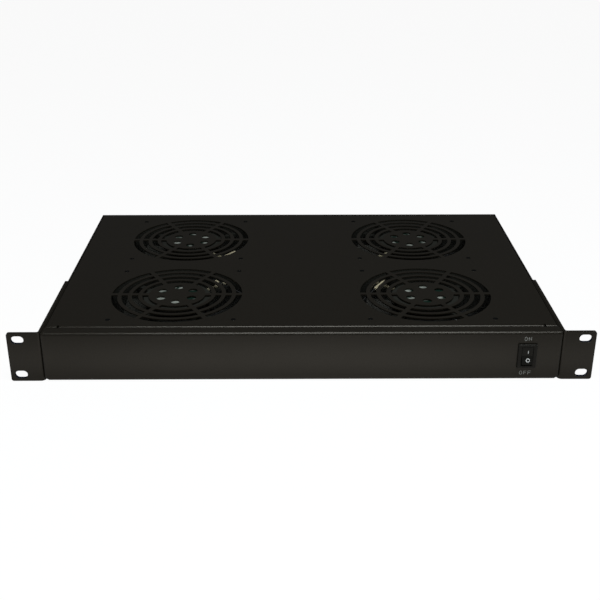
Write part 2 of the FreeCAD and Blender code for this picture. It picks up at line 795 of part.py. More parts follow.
def make_switch_body():
    """Switch housing: a bezel on the front panel and a body through it, open for the rocker."""
    body = new_body("switch_body", (switch_x, 0, size.switch_z))
    bezel = new_sketch(body, "switch_bezel", "XZ_Plane")
    rectangle(bezel, -bezel_width / 2, -bezel_height / 2, bezel_width, bezel_height)
    plate = pad(body, bezel, size.bezel_thickness)
    front = -size.bezel_thickness
    rim = []
    for z in (-bezel_height / 2, bezel_height / 2):
        rim += straight_edges(plate, "x", y=front, z=z)
    for x in (-bezel_width / 2, bezel_width / 2):
        rim += straight_edges(plate, "z", x=x, y=front)
    fillet(body, rim, size.bezel_rim, "switch_bezel_rim")
    housing = new_sketch(body, "switch_housing", "XZ_Plane")
    rectangle(housing, -switch_width / 2, -switch_height / 2, switch_width, switch_height)
    pad(body, housing, size.switch_body_depth, downward=True)
    opening = new_sketch(body, "switch_opening", "XZ_Plane", (0, 0, size.bezel_thickness))
    rectangle(opening, -opening_width / 2, -opening_height / 2, opening_width, opening_height)
    pocket(body, opening, size.bezel_thickness + size.switch_body_depth - size.switch_back_wall)
    pivot = new_sketch(body, "switch_pivot", "YZ_Plane")
    circle(pivot, size.pivot_set_back, 0, size.pivot_radius + size.pivot_clearance)
    pocket(body, pivot, pivot_length + 2 * size.pivot_end_gap, both_ways=True)
    return body


def make_rocker():
    """Rocker with a shallow hollow face, on two trunnions. At rest its top half is pressed in."""
    body = new_body("switch_rocker", (switch_x, size.pivot_set_back, size.switch_z),
                    (Vector(-1, 0, 0), size.rocker_tilt))
    end_face = size.pivot_set_back + size.bezel_thickness + size.rocker_stand
    profile = new_sketch(body, "rocker_profile", "YZ_Plane")
    half = size.rocker_half
    outline(profile, [
        (-end_face, -half), (-size.rocker_skirt, -half),
        (size.rocker_back, -size.rocker_back_half), (size.rocker_back, size.rocker_back_half),
        (-size.rocker_skirt, half), (-end_face, half), (size.rocker_dish - end_face, 0),
    ])
    pad(body, profile, size.rocker_width, both_ways=True)
    pin = new_sketch(body, "rocker_trunnions", "YZ_Plane")
    circle(pin, 0, 0, size.pivot_radius)
    pad(body, pin, pivot_length, both_ways=True)
    return body


def make_switch_terminals():
    """Two push-on blades out of the back of the switch."""
    group = []
    for z in (-size.terminal_pitch / 2, size.terminal_pitch / 2):
        blade = doc.addObject("Part::Box", "switch_terminal")
        blade.Length = float(size.terminal_width)
        blade.Width = float(size.terminal_length)
        blade.Height = float(size.terminal_thickness)
        bind(blade, "Length", size.terminal_width)
        bind(blade, "Width", size.terminal_length)
        bind(blade, "Height", size.terminal_thickness)
        put(blade, "Placement", (switch_x - size.terminal_width / 2, size.switch_body_depth,
                                 size.switch_z + z - size.terminal_thickness / 2))
        group.append(blade)
    return as_group("switch_terminals", group)


def as_group(name, members):
    """Several separate solids under one label."""
    group = doc.addObject("Part::Compound", name)
    group.Label = name
    group.Links = members
    doc.recompute()
    return group


# Mains inlet -------------------------------------------------------------------------------------


def inlet_outline(sketch, width, height):
    """The inlet's six-sided outline: a rectangle with its two upper corners cut off."""
    x = width / 2
    z = height / 2
    cut = size.inlet_chamfer
    points = [(-x, -z), (x, -z), (x, z - cut), (x - cut, z), (cut - x, z), (-x, z - cut)]
    outline(sketch, [(size.inlet_x + px, size.inlet_z + pz) for px, pz in points])


def make_inlet():
    """Snap-in mains inlet: flange outside the rear wall, body inside it, and the plug's recess."""
    body = new_body("inlet_housing", (0, size.body_depth, 0))
    flange = new_sketch(body, "inlet_flange", "XZ_Plane")
    flange_width = inlet_width + 2 * size.inlet_lip
    flange_height = inlet_height + 2 * size.inlet_lip
    rectangle(flange, size.inlet_x - flange_width / 2, size.inlet_z - flange_height / 2,
              flange_width, flange_height)
    plate = pad(body, flange, size.inlet_flange_thickness, downward=True)
    rim = []
    for sign in (-1, 1):
        edge_z = size.inlet_z + sign * flange_height / 2
        edge_x = size.inlet_x + sign * flange_width / 2
        rim += straight_edges(plate, "x", y=size.inlet_flange_thickness, z=edge_z)
        rim += straight_edges(plate, "z", y=size.inlet_flange_thickness, x=edge_x)
    fillet(body, rim, size.inlet_rim, "inlet_flange_rim")
    inside = new_sketch(body, "inlet_body", "XZ_Plane")
    inlet_outline(inside, inlet_width, inlet_height)
    pad(body, inside, size.inlet_body_depth)
    recess = new_sketch(body, "inlet_recess", "XZ_Plane", (0, 0, -size.inlet_flange_thickness))
    inlet_outline(recess, size.inlet_cavity_width, size.inlet_cavity_height)
    pocket(body, recess, size.inlet_cavity_depth, upward=True)
    return body


def make_inlet_pins():
    """Line, neutral and earth pins, standing on the floor of the recess."""
    floor = (size.body_depth + size.inlet_flange_thickness - size.inlet_cavity_depth)
    pins = []
    for column, rise in ((-1, -1), (0, 1), (1, -1)):
        pin = doc.addObject("Part::Box", "inlet_pin")
        pin.Length = float(size.pin_thickness)
        pin.Width = float(size.pin_length)
        pin.Height = float(size.pin_width)
        bind(pin, "Length", size.pin_thickness)
        bind(pin, "Width", size.pin_length)
        bind(pin, "Height", size.pin_width)
        put(pin, "Placement", (size.inlet_x + column * size.pin_pitch - size.pin_thickness / 2,
                               floor, size.inlet_z + rise * size.pin_rise - size.pin_width / 2))
        pins.append(pin)
    return as_group("inlet_pins", pins)


# Wiring ------------------------------------------------------------------------------------------


def make_terminal_block():
    """Stepped terminal block on the floor between the fans."""
    body = new_body("terminal_block", (0, block_y, tray_floor))
    profile = new_sketch(body, "block_profile", "YZ_Plane")
    deep = size.block_depth / 2
    step = size.block_step
    outline(profile, [
        (-deep, 0), (deep, 0), (deep, size.block_height - step), (deep - step, size.block_height),
        (step - deep, size.block_height), (-deep, size.block_height - step),
    ])
    pad(body, profile, size.block_width, both_ways=True)
    return body


def tube(name, points, radius, bend):
    """A wire along straight runs joined by tangent arcs."""
    corners = [Vector(*map(float, point)) for point in points]
    edges = []
    start = corners[0]
    length = 0.0
    radii = []
    for before, corner, after in zip(corners, corners[1:], corners[2:]):
        incoming = (corner - before).normalize()
        outgoing = (after - corner).normalize()
        turn = incoming.getAngle(outgoing)
        shorter = min((corner - before).Length, (after - corner).Length)
        radius_here = min(float(bend), shorter * BEND_SHARE / math.tan(turn / 2))
        cut = radius_here * math.tan(turn / 2)
        entry = corner - incoming * cut
        leave = corner + outgoing * cut
        inside = (outgoing - incoming).normalize()
        middle = corner + inside * (radius_here / math.cos(turn / 2) - radius_here)
        edges.append(Part.LineSegment(start, entry).toShape())
        edges.append(Part.Arc(entry, middle, leave).toShape())
        length += (entry - start).Length + radius_here * turn
        radii.append(round(radius_here, 1))
        start = leave
    edges.append(Part.LineSegment(start, corners[-1]).toShape())
    length += (corners[-1] - start).Length
    route = Part.Wire(edges)
    ring = Part.Wire(Part.Circle(corners[0], corners[1] - corners[0], float(radius)).toShape())
    solid = route.makePipeShell([ring], True, False, 2)
    expected = math.pi * float(radius) ** 2 * length
    if abs(solid.Volume - expected) > 0.01 * expected:
        raise RuntimeError(f"{name} has volume {solid.Volume}, not {expected}")
    print(name, "length", round(length, 1), "bend radii", radii)
    wire = doc.addObject("Part::Feature", name)
    wire.Label = name
    wire.Shape = solid
    return wire


def make_fan_lead(place, x, y):
    """A fan's sleeved lead: out along a strut, through the open corner, to the terminal block."""
    inward, toward = lead_sides(x, y)
    level = fan_bottom + strut_top + size.lead_radius + size.lead_gap
    start = size.motor_plate_radius * DIAGONAL + size.lead_radius
    run = size.fan_size / 2 + size.lead_beyond
    route = [
        (x + inward * start, y + toward * start, level),
        (x + inward * run, y + toward * run, level),
        (-inward * (size.block_width / 2 + size.lead_end_gap), y + toward * run,
         tray_floor + size.lead_entry),
    ]
    return tube(f"fan_lead_{place}", route, size.lead_radius, size.lead_bend)


def make_loom():
    """Sleeved mains loom from the terminal block, along the front panel, to the switch."""
    level = tray_floor + size.loom_lift
    front = size.loom_set_back
    terminal_end = size.switch_body_depth + size.terminal_length
    route = [
        (0, block_y - size.block_depth / 2, level),
        (0, front, level),
        (switch_x - size.loom_rise_start, front, level),
        (switch_x, terminal_end + size.loom_end_gap,
         size.switch_z - size.terminal_pitch / 2 - size.loom_end_drop),
    ]
    return tube("switch_loom", route, size.loom_radius, size.loom_bend)


def make_mains_lead():
    """Sleeved lead from the inlet's inner face down to the terminal block."""
    route = [
        (size.inlet_x, size.body_depth - size.inlet_body_depth - size.mains_end_gap, size.inlet_z),
        (0, block_y + size.block_depth / 2 + size.mains_end_gap, tray_floor + size.lead_entry),
    ]
    return tube("mains_lead", route, size.mains_radius, size.loom_bend)


# Assembly ----------------------------------------------------------------------------------------


def make_all():
    """Every sub-part, in the order in which it would be laid out on a bench."""
    nodes = [
        make_tray(),
        make_cover(),
        make_ear("rack_ear_left", -1),
        make_ear("rack_ear_right", 1),
        make_switch_body(),
        make_rocker(),
        make_switch_terminals(),
        make_inlet(),
        make_inlet_pins(),
        make_terminal_block(),
    ]
    for place, (x, y) in FAN_PLACES.items():
        nodes += [
            make_fan_frame(f"fan_frame_{place}", x, y),
            make_impeller(f"impeller_{place}", x, y),
            make_shaft(f"fan_shaft_{place}", x, y),
            make_motor(f"fan_motor_{place}", x, y),
            make_fan_lead(place, x, y),
        ]
    return nodes + [make_loom(), make_mains_lead()]


def check_and_export(nodes):
    """Stops on any failed object, then writes each sub-part to its own file."""
    doc.recompute()
    for thing in doc.Objects:
        if {"Invalid", "Error"} & set(thing.State):
            raise RuntimeError(f"{thing.Name} failed: {thing.State}")
    os.makedirs("parts", exist_ok=True)
    for node in nodes:
        shape = node.Shape
        if shape.isNull() or not shape.isValid():
            raise RuntimeError(f"{node.Label} has no valid shape")
        shape.exportStep(f"parts/{node.Label}.step")


check_and_export(make_all())
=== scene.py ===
import json
import math

import bmesh
import bpy
from mathutils import Matrix, Vector


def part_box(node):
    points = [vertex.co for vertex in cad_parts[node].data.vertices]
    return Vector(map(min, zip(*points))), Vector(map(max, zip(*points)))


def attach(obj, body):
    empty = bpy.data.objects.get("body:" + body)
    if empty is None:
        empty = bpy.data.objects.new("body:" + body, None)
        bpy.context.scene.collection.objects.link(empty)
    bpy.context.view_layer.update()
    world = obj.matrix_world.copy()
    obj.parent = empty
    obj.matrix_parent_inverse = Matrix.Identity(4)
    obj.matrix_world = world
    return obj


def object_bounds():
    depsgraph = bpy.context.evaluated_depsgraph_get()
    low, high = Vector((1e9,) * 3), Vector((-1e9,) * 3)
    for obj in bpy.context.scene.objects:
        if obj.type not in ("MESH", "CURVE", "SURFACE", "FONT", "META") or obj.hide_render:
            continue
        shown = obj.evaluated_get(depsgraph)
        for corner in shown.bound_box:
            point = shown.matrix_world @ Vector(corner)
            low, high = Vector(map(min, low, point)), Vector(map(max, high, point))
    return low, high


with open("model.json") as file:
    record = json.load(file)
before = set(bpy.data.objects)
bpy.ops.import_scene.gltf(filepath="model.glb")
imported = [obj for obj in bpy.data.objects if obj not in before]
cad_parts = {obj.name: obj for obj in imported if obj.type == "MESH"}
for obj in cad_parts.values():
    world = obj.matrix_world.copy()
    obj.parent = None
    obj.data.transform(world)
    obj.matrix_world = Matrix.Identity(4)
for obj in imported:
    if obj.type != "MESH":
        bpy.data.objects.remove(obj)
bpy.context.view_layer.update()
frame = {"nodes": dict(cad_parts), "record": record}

# Looks for the rack fan tray: materials for every CAD node, the small fasteners, labels and prints
# that the CAD leaves out, and a plain studio seen from the photograph's angle. Blender works in
# metres, so a size that is easier to read in millimetres is multiplied by MM.

MM = 0.001


# Materials ---------------------------------------------------------------------------------------

# A noise node's value mostly lies between these two.
NOISE_LOW, NOISE_HIGH = 0.3, 0.7


class Nodes:
    """A material's node tree, with short calls for the nodes used here."""

    def __init__(self, name):
        self.material = bpy.data.materials.new(name)
        self.material.use_nodes = True
        self.tree = self.material.node_tree
        self.shader = self.tree.nodes["Principled BSDF"]
        self.place = self.tree.nodes.new("ShaderNodeTexCoord").outputs["Object"]

    def join(self, source, target):
        self.tree.links.new(source, target)

    def math(self, operation, *values):
        """The result of a sum on values that are sockets or plain numbers."""
        node = self.tree.nodes.new("ShaderNodeMath")
        node.operation = operation
        for value, target in zip(values, node.inputs):
            if isinstance(value, (int, float)):
                target.default_value = value
            else:
                self.join(value, target)
        return node.outputs["Value"]

    def beyond(self, axis, low, high):
        """How far a point lies outside the span from low to high along an axis. Less than 0 inside."""
        apart = self.tree.nodes.new("ShaderNodeSeparateXYZ")
        self.join(self.place, apart.inputs["Vector"])
        off_centre = self.math("SUBTRACT", apart.outputs[axis], (low + high) / 2)
        return self.math("SUBTRACT", self.math("ABSOLUTE", off_centre), (high - low) / 2)

    def stretched(self, scale):
        """Object coordinates multiplied by a different factor along each axis."""
        node = self.tree.nodes.new("ShaderNodeMapping")
        node.inputs["Scale"].default_value = scale
        self.join(self.place, node.inputs["Vector"])
        return node.outputs["Vector"]

    def noise(self, scale, detail=3.0, place=None):
        node = self.tree.nodes.new("ShaderNodeTexNoise")
        node.inputs["Scale"].default_value = scale
        node.inputs["Detail"].default_value = detail
        self.join(place or self.place, node.inputs["Vector"])
        return node.outputs["Fac"]

    def ramp(self, value, low, high, start=NOISE_LOW, end=NOISE_HIGH):
        """A colour between low and high, as value goes from start to end."""
        node = self.tree.nodes.new("ShaderNodeValToRGB")
        for stop, place, colour in zip(node.color_ramp.elements, (start, end), (low, high)):
            stop.position = place
            stop.color = (*colour, 1)
        self.join(value, node.inputs["Fac"])
        return node.outputs["Color"]

    def between(self, value, low, high, start=NOISE_LOW, end=NOISE_HIGH):
        """A number between low and high, as value goes from start to end."""
        node = self.tree.nodes.new("ShaderNodeMapRange")
        node.inputs["From Min"].default_value = start
        node.inputs["From Max"].default_value = end
        node.inputs["To Min"].default_value = low
        node.inputs["To Max"].default_value = high
        self.join(value, node.inputs["Value"])
        return node.outputs["Result"]

    def bump(self, height, strength, distance, edge=0.0):
        """A fine relief, on edges that look rounded by the given radius."""
        node = self.tree.nodes.new("ShaderNodeBump")
        node.inputs["Strength"].default_value = strength
        node.inputs["Distance"].default_value = distance
        if edge:
            rounded = self.tree.nodes.new("ShaderNodeBevel")
            rounded.samples = 6
            rounded.inputs["Radius"].default_value = edge
            self.join(rounded.outputs["Normal"], node.inputs["Normal"])
        self.join(height, node.inputs["Height"])
        self.join(node.outputs["Normal"], self.shader.inputs["Normal"])

    def finish(self, metallic=0.0, specular=0.5):
        self.shader.inputs["Metallic"].default_value = metallic
        self.shader.inputs["Specular IOR Level"].default_value = specular
        return self.material


# How coated surfaces vary: the mottle is coarser than the grain, and the patches of more and less
# shine are 25 mm across.
MOTTLE_TO_GRAIN = 0.45
PATCH_SCALE = 40.0
PATCH_SPREAD = 0.015


def coated(name, dark, pale, rough, grain, specular, depth=0.06 * MM, edge=0.0):
    """Paint or plastic: a mottled colour, a varied roughness and a fine grain."""
    nodes = Nodes(name)
    mottle = nodes.noise(grain * MOTTLE_TO_GRAIN, detail=4.0)
    nodes.join(nodes.ramp(mottle, dark, pale), nodes.shader.inputs["Base Color"])
    patches = nodes.noise(PATCH_SCALE, detail=2.0)
    nodes.join(nodes.between(patches, rough - PATCH_SPREAD, rough + PATCH_SPREAD),
               nodes.shader.inputs["Roughness"])
    nodes.bump(nodes.noise(grain, detail=2.0), strength=0.5, distance=depth, edge=edge)
    return nodes.finish(specular=specular)


def metal(name, dark, pale, rough, stretch):
    """Bare metal with the fine lines that turning, rolling or stacking leaves."""
    nodes = Nodes(name)
    lines = nodes.noise(1.0, place=nodes.stretched(stretch))
    nodes.join(nodes.ramp(lines, dark, pale), nodes.shader.inputs["Base Color"])
    spread = 0.08
    nodes.join(nodes.between(lines, rough - spread, rough + spread),
               nodes.shader.inputs["Roughness"])
    nodes.bump(lines, strength=0.25, distance=0.04 * MM)
    return nodes.finish(metallic=1.0)


def printed_foil(name, dark, pale, rough):
    """A shiny label, blotched with print."""
    nodes = Nodes(name)
    blotches = nodes.noise(115.0, detail=2.5)
    nodes.join(nodes.ramp(blotches, dark, pale, start=0.44, end=0.60),
               nodes.shader.inputs["Base Color"])
    nodes.shader.inputs["Roughness"].default_value = rough
    return nodes.finish(specular=0.3)


def warm(material):
    """Gives a material the warm shine that the photograph's black parts have."""
    shader = material.node_tree.nodes["Principled BSDF"]
    shader.inputs["Specular Tint"].default_value = (1.0, 0.92, 0.80, 1.0)
    return material


def powder_coat(name, edge=0.0):
    """Satin black powder coat, on edges that look rounded by the given radius."""
    return warm(coated(name, (0.0062, 0.0052, 0.0036), (0.0090, 0.0076, 0.0054), rough=0.29,
                       grain=1500.0, specular=0.31, depth=0.03 * MM, edge=edge))


POWDER_COAT = powder_coat("powder_coat", edge=0.4 * MM)
TRAY_COAT = powder_coat("tray_coat", edge=2.4 * MM)
COVER_COAT = powder_coat("cover_coat")
SWITCH_PLASTIC = warm(coated("switch_plastic", (0.0045, 0.0042, 0.0036),
                             (0.0070, 0.0066, 0.0057), rough=0.38, grain=2400.0,
                             specular=0.15, depth=0.02 * MM, edge=0.3 * MM))
FAN_CASTING = coated("fan_casting", (0.011, 0.011, 0.009), (0.016, 0.016, 0.013),
                     rough=0.6, grain=1300.0, specular=0.08)
FAN_PLASTIC = warm(coated("fan_plastic", (0.014, 0.014, 0.012), (0.020, 0.020, 0.017),
                          rough=0.5, grain=2200.0, specular=0.08, depth=0.02 * MM))
BLACK_SLEEVE = coated("black_sleeve", (0.010, 0.010, 0.010), (0.018, 0.018, 0.017),
                      rough=0.6, grain=2600.0, specular=0.15, depth=0.04 * MM)
CREAM_SLEEVE = coated("cream_sleeve", (0.10, 0.09, 0.055), (0.17, 0.15, 0.10),
                      rough=0.5, grain=1800.0, specular=0.25, depth=0.02 * MM)
CREAM_PLASTIC = coated("cream_plastic", (0.62, 0.57, 0.46), (0.70, 0.65, 0.54),
                       rough=0.5, grain=1600.0, specular=0.3, depth=0.02 * MM)
TAN_SLEEVE = coated("tan_sleeve", (0.22, 0.19, 0.12), (0.34, 0.30, 0.20),
                    rough=0.5, grain=1600.0, specular=0.3, depth=0.02 * MM)
PRINT_GREY = coated("print_grey", (0.17, 0.17, 0.155), (0.24, 0.24, 0.22),
                    rough=0.6, grain=3000.0, specular=0.1, depth=0.01 * MM)
PRINT_WHITE = coated("print_white", (0.32, 0.32, 0.30), (0.42, 0.42, 0.40),
                     rough=0.5, grain=3000.0, specular=0.2, depth=0.01 * MM)
LABEL_FOIL = printed_foil("label_foil", (0.004, 0.012, 0.008), (0.22, 0.23, 0.20), rough=0.35)
# A dark, dull colour that paints the shade on the rack slots' walls.
SLOT_WALL_SHADE = coated("slot_wall_shade", (0.003, 0.005, 0.010), (0.006, 0.009, 0.016),
                  rough=0.6, grain=900.0, specular=0.04)
# A dull near-black that paints the shade in screw sockets and cross recesses, where no hollow is cut.
RECESS_SHADE = coated("recess_shade", (0.0020, 0.0020, 0.0020), (0.0035, 0.0035, 0.0033),
                      rough=0.7, grain=2600.0, specular=0.03, depth=0.02 * MM)
SCREW_BLACK = coated("screw_black", (0.008, 0.008, 0.008), (0.013, 0.013, 0.012),
                     rough=0.35, grain=2600.0, specular=0.3, depth=0.02 * MM)
TINNED_BRASS = metal("tinned_brass", (0.62, 0.60, 0.52), (0.76, 0.74, 0.66),
                     rough=0.3, stretch=(900, 60, 900))
SHAFT_STEEL = metal("shaft_steel", (0.50, 0.50, 0.50), (0.64, 0.64, 0.63),
                    rough=0.25, stretch=(120, 120, 2600))
MOTOR_STEEL = metal("motor_steel", (0.22, 0.21, 0.20), (0.36, 0.35, 0.33),
                    rough=0.45, stretch=(60, 60, 3200))

SLOT_MATERIALS = {
    "black_powder_coat": POWDER_COAT,
    "switch_black": SWITCH_PLASTIC,
    "tinned_brass": TINNED_BRASS,
    "cream_plastic": CREAM_PLASTIC,
    "black_sleeve": BLACK_SLEEVE,
    "cream_sleeve": CREAM_SLEEVE,
    "cast_frame": FAN_CASTING,
    "fan_black": FAN_PLASTIC,
    "steel_shaft": SHAFT_STEEL,
    "motor_steel": MOTOR_STEEL,
}
# The tray's bends catch a wider band of light than the ears' edges, and the cover's edges are sharp.
OWN_COATS = {"chassis_tray": TRAY_COAT, "top_cover": COVER_COAT}

for entry in frame["record"]["subparts"]:
    finish = OWN_COATS.get(entry["node"], SLOT_MATERIALS[entry["material_slot"]])
    for slot in frame["nodes"][entry["node"]].material_slots:
        slot.material = finish


# Shapes ------------------------------------------------------------------------------------------

# How far a print starts inside the surface that it lies on, and how far it stands proud.
PRINT_FOOT, PRINT_TOP = -0.05 * MM, 0.04 * MM


def facing(normal):
    """The turn that carries +Z onto a direction, with the mesh's +Y kept as upright as it can be."""
    normal = Vector(normal).normalized()
    across = Vector((0, 0, 1)).cross(normal)
    if across.length < 0.01:
        across = Vector((1, 0, 0))
    across.normalize()
    upright = normal.cross(across)
    return Matrix((across, upright, normal)).transposed().to_4x4()


def add_ring(builder, half_width, half_height, level, steps):
    """A ring of corners about Z: a circle, or an ellipse with its width along X."""
    ring = []
    for step in range(steps):
        angle = 2 * math.pi * step / steps
        corner = (half_width * math.cos(angle), half_height * math.sin(angle), level)
        ring.append(builder.verts.new(corner))
    return ring


def join_rings(builder, low, high):
    """The band of faces between two rings that have the same number of corners."""
    for step in range(len(low)):
        after = (step + 1) % len(low)
        builder.faces.new((low[step], low[after], high[after], high[step]))


def revolved(profile, steps=28):
    """A closed shape from (radius, height) points turned about Z, from its foot to its top."""
    builder = bmesh.new()
    rings = [add_ring(builder, radius, radius, height, steps) for radius, height in profile]
    for low, high in zip(rings, rings[1:]):
        join_rings(builder, low, high)
    builder.faces.new(list(reversed(rings[0])))
    builder.faces.new(rings[-1])
    return builder


def hoop(outer, inner, low=PRINT_FOOT, high=PRINT_TOP, steps=48):
    """A flat ring about Z. outer and inner are each a half width and a half height."""
    builder = bmesh.new()
    rings = [add_ring(builder, *size, level, steps)
             for size, level in ((outer, low), (outer, high), (inner, high), (inner, low))]
    for first, second in zip(rings, rings[1:] + rings[:1]):
        join_rings(builder, first, second)
    return builder


def block(width, depth, low, high):
    """A box about the Z axis, from low to high."""
    builder = bmesh.new()
    bmesh.ops.create_cube(builder, size=1.0)
    for corner in builder.verts:
        corner.co.x *= width
        corner.co.y *= depth
        corner.co.z = high if corner.co.z > 0 else low
    return builder


def join_into(builder, other):
    """Adds one build to another."""
    mesh = bpy.data.meshes.new("part")
    other.to_mesh(mesh)
    other.free()
    builder.from_mesh(mesh)
    bpy.data.meshes.remove(mesh)


def as_mesh(name, builder, place, normal=(0, 0, 1)):
    """Ends a build: the mesh stands at place, with its +Z along normal."""
    bmesh.ops.recalc_face_normals(builder, faces=builder.faces)
    mesh = bpy.data.meshes.new(name)
    builder.to_mesh(mesh)
    builder.free()
    mesh.transform(Matrix.Translation(Vector(place)) @ facing(normal))
    return mesh


# The bars of each letter, from corner to corner of a box that is 1 wide and 1 high.
STROKES = {
    "N": ((0, 0, 0, 1), (0, 1, 1, 0), (1, 0, 1, 1)),
    "F": ((0, 0, 0, 1), (0, 1, 1, 1), (0, 0.5, 0.85, 0.5)),
}


def letter_ring(width, height, stroke):
    """The letter O, a little larger than its box, as round letters are."""
    outer = (width / 2 + stroke * 0.3, height / 2 + stroke * 0.7)
    inner = (outer[0] - stroke, outer[1] - stroke)
    return hoop(outer, inner)


def letter_bar(start, end, stroke):
    """One straight bar of a letter, thinner where it slants."""
    run = end - start
    thickness = stroke * (0.7 if run.x and run.y else 1.0)
    bar = block(thickness, run.length + stroke * 0.6, PRINT_FOOT, PRINT_TOP)
    turn = Matrix.Rotation(math.atan2(run.y, run.x) - math.pi / 2, 4, "Z")
    shift = Matrix.Translation((start + end).to_3d() / 2)
    bmesh.ops.transform(bar, matrix=shift @ turn, verts=bar.verts)
    return bar


def lettering(words, width, height, step, stroke):
    """Printed block letters in their own XY plane, centred."""
    builder = bmesh.new()
    for number, letter in enumerate(words):
        middle_x = (number - (len(words) - 1) / 2) * step
        if letter == "O":
            ring = letter_ring(width, height, stroke)
            bmesh.ops.translate(ring, vec=(middle_x, 0, 0), verts=ring.verts)
            join_into(builder, ring)
            continue
        left = middle_x - width / 2
        for x0, y0, x1, y1 in STROKES[letter]:
            start = Vector((left + x0 * width, (y0 - 0.5) * height))
            end = Vector((left + x1 * width, (y1 - 0.5) * height))
            join_into(builder, letter_bar(start, end, stroke))
    return builder


# Pieces ------------------------------------------------------------------------------------------

PLACES = ("front_left", "front_right", "rear_left", "rear_right")
SIDES = (("left", -1), ("right", 1))
COVER_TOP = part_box("top_cover")[1][2]


def middle(node):
    """The centre of a CAD node's box."""
    low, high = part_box(node)
    return (Vector(low) + Vector(high)) / 2


def on_surface(node, start, direction):
    """Where a ray first meets a CAD node, and the surface's normal there."""
    found, place, normal, _ = frame["nodes"][node].ray_cast(Vector(start), Vector(direction))
    if not found:
        raise RuntimeError(f"the ray misses {node}")
    return place, normal


def piece(name, mesh, material, body):
    """Puts a mesh into the scene as a named piece that rides a CAD body."""
    obj = bpy.data.objects.new(name, mesh)
    bpy.context.collection.objects.link(obj)
    mesh.materials.clear()
    mesh.materials.append(material)
    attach(obj, body)
    return obj


FAN_HOLE_PITCH = 105.0 * MM


def add_fan_screws():
    """The sunk end of each fan screw in the cover, four to a fan: a low rim round a flat dark disc
    that paints the shade in the socket.
    """
    half = FAN_HOLE_PITCH / 2
    rim = [(2.6 * MM, -0.05 * MM), (2.5 * MM, 0.04 * MM), (2.2 * MM, 0.04 * MM),
           (2.1 * MM, 0.01 * MM)]
    socket = [(2.2 * MM, 0.0 * MM), (2.15 * MM, 0.03 * MM), (0.2 * MM, 0.02 * MM)]
    corners = ((-half, -half), (-half, half), (half, -half), (half, half))
    for place in PLACES:
        centre = middle(f"fan_frame_{place}")
        for number, (across, along) in enumerate(corners, 1):
            spot = (centre.x + across, centre.y + along, COVER_TOP)
            piece(f"fan_screw_rim_{place}_{number}",
                  as_mesh("screw_rim", revolved(rim), spot), POWDER_COAT, "tray")
            piece(f"fan_screw_{place}_{number}",
                  as_mesh("fan_screw", revolved(socket), spot), RECESS_SHADE, "tray")


def add_screw(name, node, start, direction):
    """A low pan head with a cross recess, where a ray from start meets a CAD node."""
    spot, normal = on_surface(node, [value * MM for value in start], direction)
    dome = [(2.9 * MM, -0.05 * MM), (2.9 * MM, 0.35 * MM), (2.5 * MM, 0.85 * MM),
            (1.6 * MM, 1.15 * MM), (0.4 * MM, 1.2 * MM)]
    piece(name, as_mesh(name, revolved(dome, steps=36), spot, normal), SCREW_BLACK, "tray")
    # The cross recess is a flat dark cross just proud of the dome: painted shade in place of a real
    # recess.
    long, narrow, foot, top = 2.5 * MM, 0.55 * MM, 1.0 * MM, 1.22 * MM
    cross = block(narrow, long, foot, top)
    join_into(cross, block(long, narrow, foot, top))
    piece(f"{name}_recess", as_mesh("recess", cross, spot, normal), RECESS_SHADE, "tray")


# Where the screws sit, in millimetres: (Y, Z) on the ears' side flanges, Y on the side walls and X
# on the rear wall. The cover's screws are all at the height of its flanges.
EAR_SCREWS = ((25, 12), (95, 12), (60, -12))
COVER_SCREWS_SIDE = (135, 205, 272)
COVER_SCREWS_REAR = (-160, -60, 60, 160)
COVER_SCREW_RISE = 16.5
# Rays for them start this far out, clear of the part on every side.
WELL_OUTSIDE = 400


def add_side_screws():
    """The screws that hold the ears, and those that hold the cover by its flanges."""
    for side, sign in SIDES:
        for number, (along, rise) in enumerate(EAR_SCREWS, 1):
            add_screw(f"ear_screw_{side}_{number}", f"rack_ear_{side}",
                      (sign * WELL_OUTSIDE, along, rise), (-sign, 0, 0))
        for number, along in enumerate(COVER_SCREWS_SIDE, 1):
            add_screw(f"cover_screw_{side}_{number}", "chassis_tray",
                      (sign * WELL_OUTSIDE, along, COVER_SCREW_RISE), (-sign, 0, 0))
    for number, across in enumerate(COVER_SCREWS_REAR, 1):
        add_screw(f"cover_screw_rear_{number}", "chassis_tray",
                  (across, WELL_OUTSIDE, COVER_SCREW_RISE), (0, -1, 0))


# The rack standard's slot centres, the slots' length and height, and the depths between which a dark
# sleeve of painted shade lines their walls.
SLOT_PITCH_WIDE, SLOT_PITCH_HIGH = 465.1 * MM, 31.75 * MM
SLOT_LENGTH, SLOT_HEIGHT = 10.5 * MM, 7.0 * MM
SLOT_SHADE_DEPTHS = (0.05 * MM, 1.9 * MM)


def add_slot_shade_sleeves():
    """Painted shade inside each rack slot: a thin dark sleeve laid over the slot's wall."""
    radius = SLOT_HEIGHT / 2
    straight = (SLOT_LENGTH - SLOT_HEIGHT) / 2
    outer, inner = radius + 0.1 * MM, radius - 0.12 * MM
    shallow, deep = SLOT_SHADE_DEPTHS
    # The sleeve is painted shade, darker and duller than the coat it covers.
    for side, sign in SIDES:
        for number, rise in enumerate((SLOT_PITCH_HIGH / 2, -SLOT_PITCH_HIGH / 2), 1):
            sleeve = hoop((outer, outer), (inner, inner), -deep, -shallow, steps=50)
            for corner in sleeve.verts:
                corner.co.x += math.copysign(straight, corner.co.x)
            spot = (sign * SLOT_PITCH_WIDE / 2, 0, rise)
            piece(f"slot_shade_sleeve_{side}_{number}", as_mesh("slot_shade_sleeve", sleeve, spot, (0, -1, 0)),
                  SLOT_WALL_SHADE, "tray")


